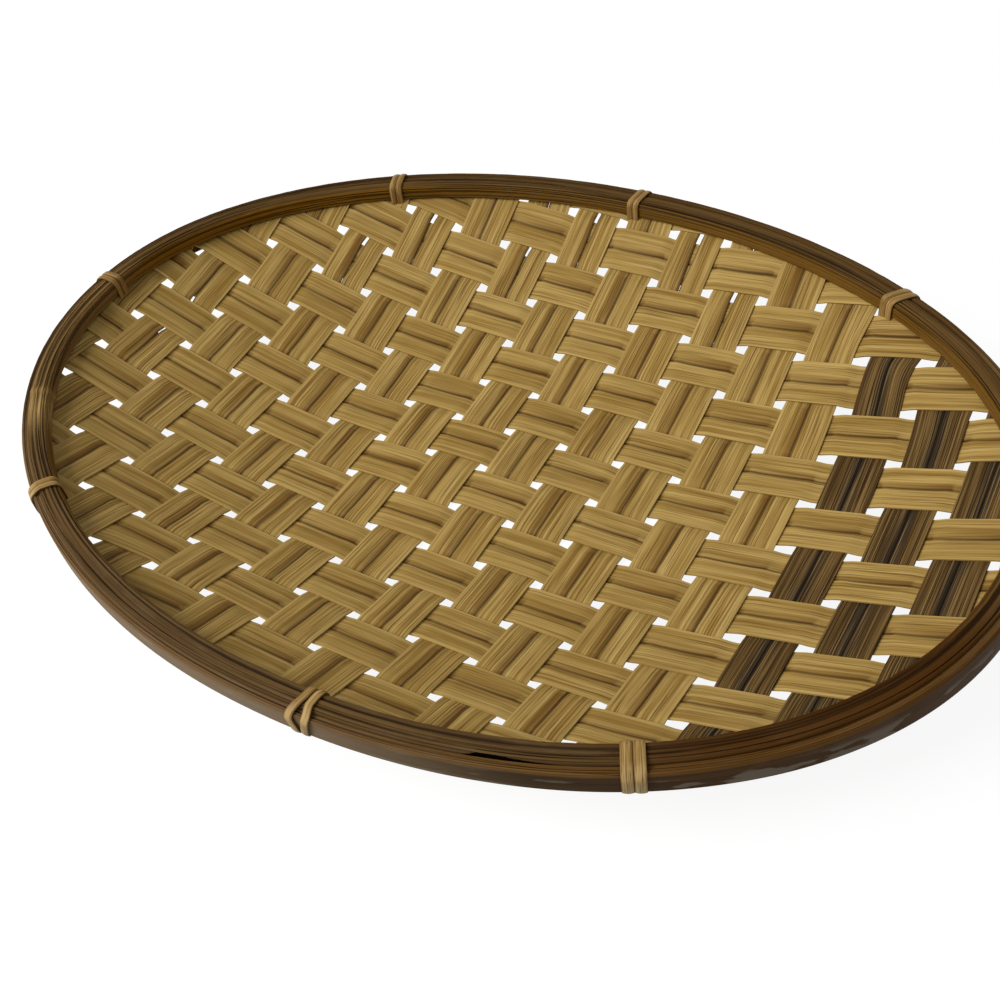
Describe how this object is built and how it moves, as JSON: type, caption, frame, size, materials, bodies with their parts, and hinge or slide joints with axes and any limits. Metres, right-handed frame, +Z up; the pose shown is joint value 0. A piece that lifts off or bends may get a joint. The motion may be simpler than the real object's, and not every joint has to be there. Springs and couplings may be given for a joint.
{
  "type": "woven tray",
  "caption": "Oval dished tray woven from flat bamboo strips, its edge clamped between two bent hoops bound with rattan lashings; holds and serves fruit, bread or small goods.",
  "frame": {"origin": "on the table under the middle of the oval", "axes": "+X along the tray towards its dark strands, +Y across it, +Z up out of the dish"},
  "size_m": [0.4024, 0.2941, 0.0443],
  "materials": {
    "natural_bamboo": "satin",
    "dark_bamboo": "satin",
    "stained_bamboo": "satin",
    "rattan": "satin"
  },
  "bodies": {
    "root": {"long_strand_01": "natural_bamboo", "long_strand_02": "natural_bamboo", "long_strand_03": "natural_bamboo", "long_strand_04": "natural_bamboo", "long_strand_05": "natural_bamboo", "long_strand_06": "natural_bamboo", "long_strand_07": "natural_bamboo", "long_strand_08": "natural_bamboo", "long_strand_09": "natural_bamboo", "long_strand_10": "natural_bamboo", "long_strand_11": "natural_bamboo", "long_strand_12": "natural_bamboo", "long_strand_13": "natural_bamboo", "cross_strand_01": "natural_bamboo", "cross_strand_02": "natural_bamboo", "cross_strand_03": "natural_bamboo", "cross_strand_04": "natural_bamboo", "cross_strand_05": "natural_bamboo", "cross_strand_06": "natural_bamboo", "cross_strand_07": "natural_bamboo", "cross_strand_08": "natural_bamboo", "cross_strand_09": "natural_bamboo", "cross_strand_10": "natural_bamboo", "cross_strand_11": "natural_bamboo", "cross_strand_12": "natural_bamboo", "cross_strand_13": "natural_bamboo", "cross_strand_14": "dark_bamboo", "cross_strand_15": "dark_bamboo", "cross_strand_16": "dark_bamboo", "outer_hoop": "stained_bamboo", "inner_hoop": "stained_bamboo", "rim_lashing_1": "rattan", "rim_lashing_2": "rattan", "rim_lashing_3": "rattan", "rim_lashing_4": "rattan", "rim_lashing_5": "rattan", "rim_lashing_6": "rattan", "rim_lashing_7": "rattan", "rim_lashing_8": "rattan"}
  },
  "joints": []
}
